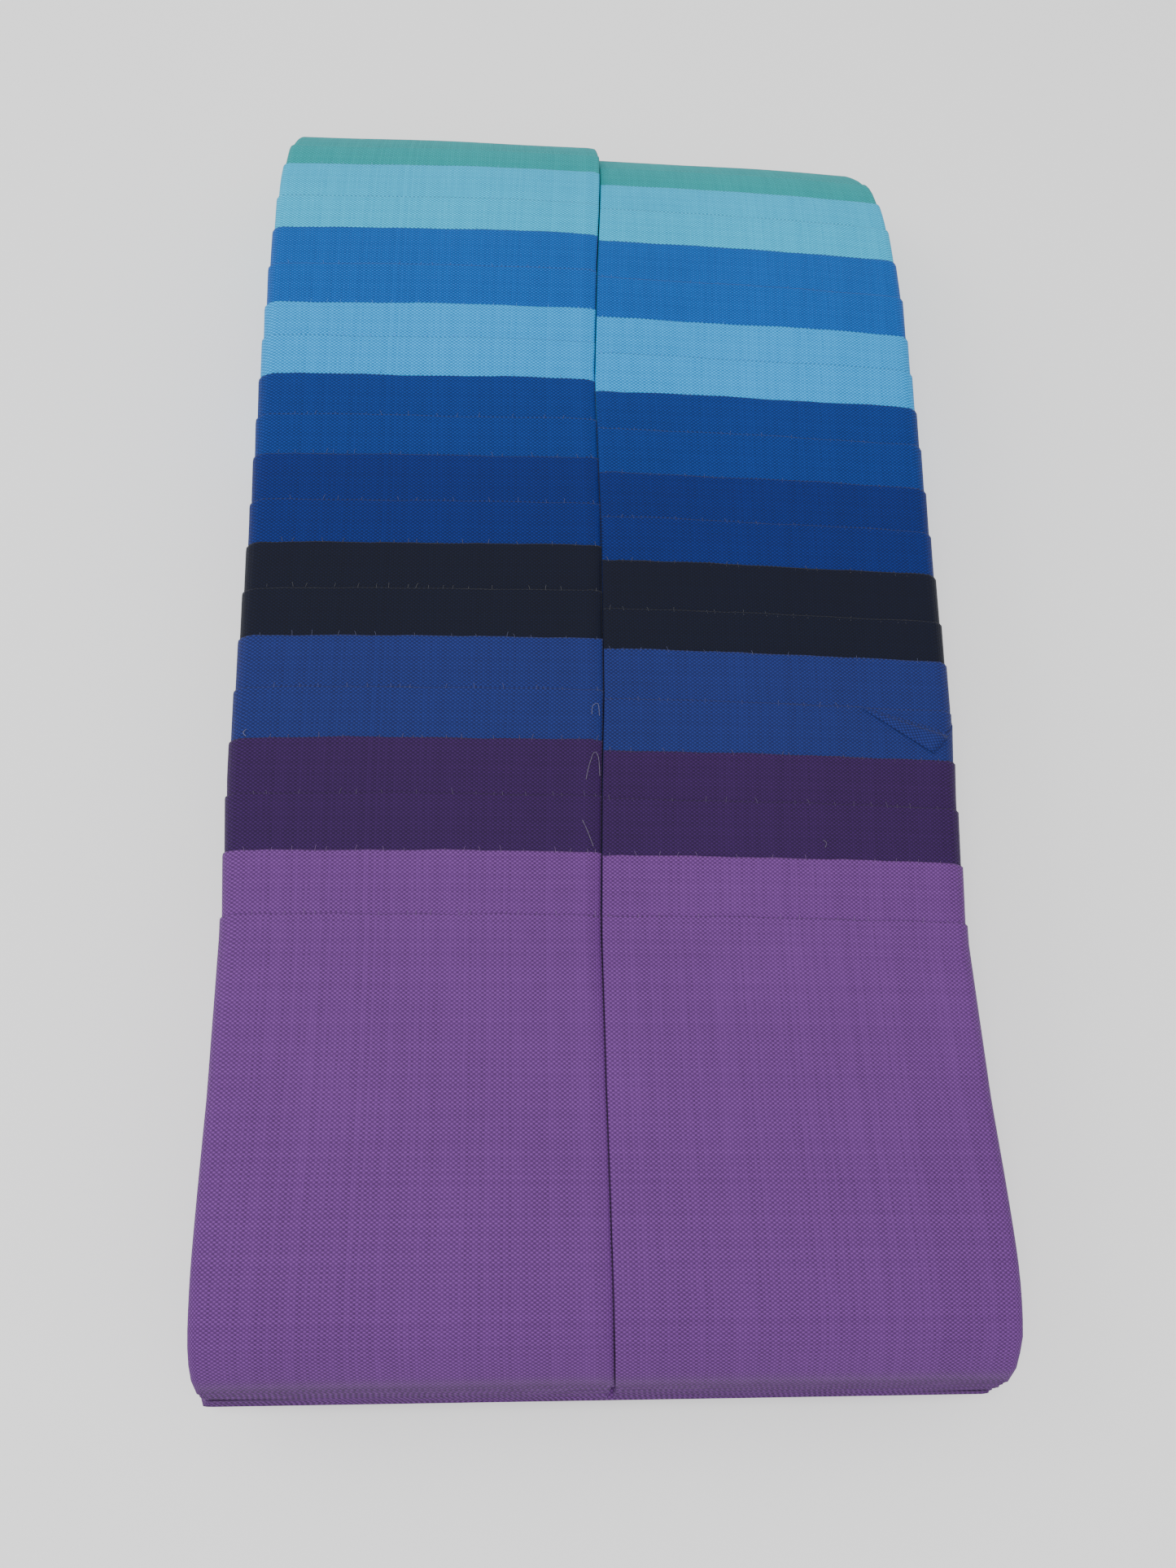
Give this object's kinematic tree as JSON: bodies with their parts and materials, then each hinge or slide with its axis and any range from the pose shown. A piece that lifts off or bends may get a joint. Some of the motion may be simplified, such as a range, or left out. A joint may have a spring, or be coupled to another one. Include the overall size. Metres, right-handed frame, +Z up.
{
  "type": "folded pack of jelly roll fabric strips",
  "caption": "Flat folded pack of narrow quilting cotton strips, laid as colour steps that meet at a lengthwise slit.",
  "frame": {"origin": "middle of the flat underside, where the pack rests", "axes": "+X to the right across the strips' folded width, +Y along the pack to the far, teal end, +Z up through its thickness"},
  "size_m": [0.107, 0.2175, 0.027],
  "materials": {
    "cotton_teal": "matt plain-weave cotton, solid dyed",
    "cotton_aqua": "matt plain-weave cotton, solid dyed",
    "cotton_blue": "matt plain-weave cotton, solid dyed",
    "cotton_sky": "matt plain-weave cotton, solid dyed",
    "cotton_royal": "matt plain-weave cotton, solid dyed",
    "cotton_navy": "matt plain-weave cotton, solid dyed",
    "cotton_black": "matt plain-weave cotton, solid dyed",
    "cotton_indigo": "matt plain-weave cotton, solid dyed",
    "cotton_plum": "matt plain-weave cotton, solid dyed",
    "cotton_violet": "matt plain-weave cotton, solid dyed"
  },
  "bodies": {
    "root": {"strips_teal_1": "cotton_teal", "strips_teal_2": "cotton_teal", "strips_aqua_1": "cotton_aqua", "strips_aqua_2": "cotton_aqua", "strips_blue_1": "cotton_blue", "strips_blue_2": "cotton_blue", "strips_sky_1": "cotton_sky", "strips_sky_2": "cotton_sky", "strips_royal_1": "cotton_royal", "strips_royal_2": "cotton_royal", "strips_navy_1": "cotton_navy", "strips_navy_2": "cotton_navy", "strips_black_1": "cotton_black", "strips_black_2": "cotton_black", "strips_indigo_1": "cotton_indigo", "strips_indigo_2": "cotton_indigo", "strips_plum_1": "cotton_plum", "strips_plum_2": "cotton_plum", "strips_violet_1": "cotton_violet", "strips_violet_2": "cotton_violet"}
  },
  "joints": []
}
